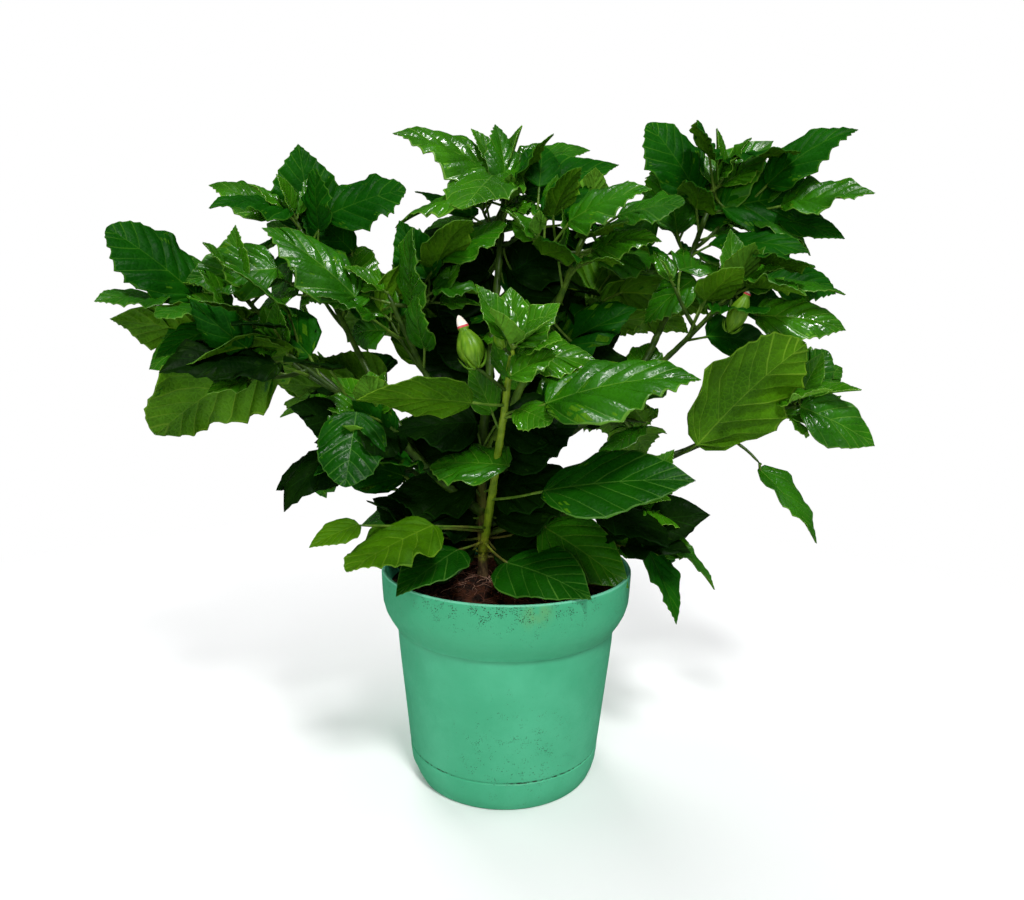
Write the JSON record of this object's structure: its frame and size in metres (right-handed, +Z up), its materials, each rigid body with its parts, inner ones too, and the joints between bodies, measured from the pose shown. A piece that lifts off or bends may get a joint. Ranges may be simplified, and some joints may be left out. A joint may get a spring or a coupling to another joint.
{
  "type": "potted hibiscus shrub",
  "caption": "Young hibiscus shrub with glossy toothed leaves on green shoots from a short woody trunk, standing in a round plastic nursery pot of soil.",
  "frame": {"origin": "centre of the pot's flat underside", "axes": "+Z up from the surface the pot stands on; -Y is the plant's front, where the green front shoot stands; +X is to the right seen from the front"},
  "size_m": [0.5947, 0.3286, 0.5296],
  "materials": {
    "pot_plastic": "matte moulded plastic, slightly scuffed and dirty",
    "potting_soil": "damp dark potting soil with coir fibres",
    "woody_bark": "grey-brown young bark",
    "green_stem": "smooth green young shoots",
    "leaf": "glossy puckered green leaves, paler and duller beneath",
    "flower_bud": "green ribbed calyx with a pale or red petal tip"
  },
  "bodies": {
    "root": {"back_left_bough": "green_stem", "back_left_leaves": "leaf", "back_left_low_leaves": "leaf", "back_left_low_shoot": "green_stem", "back_low_leaves": "leaf", "back_low_shoot": "green_stem", "back_right_bough": "green_stem", "back_right_leaves": "leaf", "back_right_low_leaves": "leaf", "back_right_low_shoot": "green_stem", "centre_bough": "green_stem", "centre_leaves": "leaf", "centre_shoot": "green_stem", "centre_top_leaves": "leaf", "front_left_leaves": "leaf", "front_right_leaves": "leaf", "front_shoot": "green_stem", "front_top_leaves": "leaf", "hanging_left_leaves": "leaf", "heart_high_leaves": "leaf", "heart_low_leaves": "leaf", "heart_mid_leaves": "leaf", "inner_left_leaves": "leaf", "inner_left_shoot": "green_stem", "left_bough": "green_stem", "left_low_leaves": "leaf", "left_low_shoot": "green_stem", "left_outer_leaves": "leaf", "left_outer_shoot": "green_stem", "left_top_leaves": "leaf", "left_top_shoot": "green_stem", "low_front_left_leaves": "leaf", "low_front_right_leaves": "leaf", "low_left_leaves": "leaf", "low_left_shoot": "green_stem", "low_right_leaves": "leaf", "low_right_shoot": "green_stem", "pot": "pot_plastic", "right_bough": "green_stem", "right_broad_leaf": "leaf", "right_drooping_leaf": "leaf", "right_drooping_stalk": "green_stem", "right_low_bough": "green_stem", "right_mid_leaves": "leaf", "right_mid_shoot": "green_stem", "right_outer_leaves": "leaf", "right_top_leaves": "leaf", "right_top_shoot": "green_stem", "soil": "potting_soil", "trunk": "woody_bark"}
  },
  "joints": []
}
